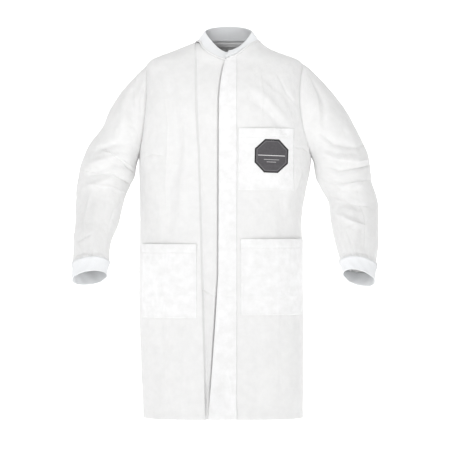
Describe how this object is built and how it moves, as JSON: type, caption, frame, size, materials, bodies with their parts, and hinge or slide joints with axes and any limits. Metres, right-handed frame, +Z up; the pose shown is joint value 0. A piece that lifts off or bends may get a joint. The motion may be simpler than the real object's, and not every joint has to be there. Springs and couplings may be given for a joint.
{
  "type": "lab coat",
  "caption": "Knee-length long-sleeved lab coat of nonwoven cloth with knitted stand collar and cuffs, concealed snap front, chest pocket and hip pockets, worn shape.",
  "frame": {"origin": "middle of the neck, level with the seam that joins the collar to the back; the wearer's neck holds the coat up there", "axes": "+Z up, +X to the wearer's left, -Y to the front, where the coat opens"},
  "size_m": [0.8448, 0.2687, 1.0943],
  "materials": {
    "nonwoven": "matte spun-bonded nonwoven cloth with fine point bonds, white",
    "rib_knit": "soft white rib knit",
    "snap_plastic": "white moulded plastic, satin",
    "badge": "printed charcoal patch with pale bars, matte"
  },
  "bodies": {
    "coat_body": {"back_panel": "nonwoven", "left_front_panel": "nonwoven", "right_front_panel": "nonwoven", "left_placket_upper": "nonwoven", "left_fly_upper": "nonwoven", "right_underlap_upper": "nonwoven", "right_snap_strip_upper": "nonwoven", "collar_band": "rib_knit", "neck_seam_tape": "nonwoven", "chest_pocket": "nonwoven", "left_hip_pocket": "nonwoven", "right_hip_pocket": "nonwoven", "badge_patch": "badge", "snap_cap_1": "snap_plastic", "snap_socket_1": "snap_plastic", "snap_stud_1": "snap_plastic", "snap_post_1": "snap_plastic", "snap_cap_2": "snap_plastic", "snap_socket_2": "snap_plastic", "snap_stud_2": "snap_plastic", "snap_post_2": "snap_plastic"},
    "left_front_edge": {"left_placket_lower": "nonwoven", "left_fly_lower": "nonwoven", "snap_cap_3": "snap_plastic", "snap_socket_3": "snap_plastic", "snap_cap_4": "snap_plastic", "snap_socket_4": "snap_plastic", "snap_cap_5": "snap_plastic", "snap_socket_5": "snap_plastic"},
    "right_front_edge": {"right_underlap_lower": "nonwoven", "right_snap_strip_lower": "nonwoven", "snap_stud_3": "snap_plastic", "snap_post_3": "snap_plastic", "snap_stud_4": "snap_plastic", "snap_post_4": "snap_plastic", "snap_stud_5": "snap_plastic", "snap_post_5": "snap_plastic"},
    "left_upper_arm": {"left_sleeve_upper": "nonwoven"},
    "left_forearm": {"left_sleeve_lower": "nonwoven", "left_cuff": "rib_knit"},
    "right_upper_arm": {"right_sleeve_upper": "nonwoven"},
    "right_forearm": {"right_sleeve_lower": "nonwoven", "right_cuff": "rib_knit"}
  },
  "joints": [
    {"name": "left_front_opening", "type": "hinge", "parent": "coat_body", "child": "left_front_edge", "pos_m": [0.02, -0.13209, -0.3], "axis": [0, 0.0102, 0.9999], "range_deg": [0, 120]},
    {"name": "right_front_opening", "type": "hinge", "parent": "coat_body", "child": "right_front_edge", "pos_m": [-0.088, -0.12086, -0.3], "axis": [0.0267, -0.0152, -0.9995], "range_deg": [0, 30]},
    {"name": "left_shoulder_raise", "type": "hinge", "parent": "coat_body", "child": "left_upper_arm", "pos_m": [0.20473, 0, -0.0645], "axis": [0, -1, 0], "range_deg": [0, 45]},
    {"name": "left_elbow_bend", "type": "hinge", "parent": "left_upper_arm", "child": "left_forearm", "pos_m": [0.32843, -0.06781, -0.39489], "axis": [-1, 0, 0], "range_deg": [0, 60]},
    {"name": "right_shoulder_raise", "type": "hinge", "parent": "coat_body", "child": "right_upper_arm", "pos_m": [-0.23073, 0, -0.0645], "axis": [0, 1, 0], "range_deg": [0, 45]},
    {"name": "right_elbow_bend", "type": "hinge", "parent": "right_upper_arm", "child": "right_forearm", "pos_m": [-0.3494, -0.06781, -0.37372], "axis": [-1, 0, 0], "range_deg": [0, 60]}
  ],
  "couplings": [
    {"joint": "right_front_opening", "follows": "left_front_opening", "ratio": 0.25}
  ]
}
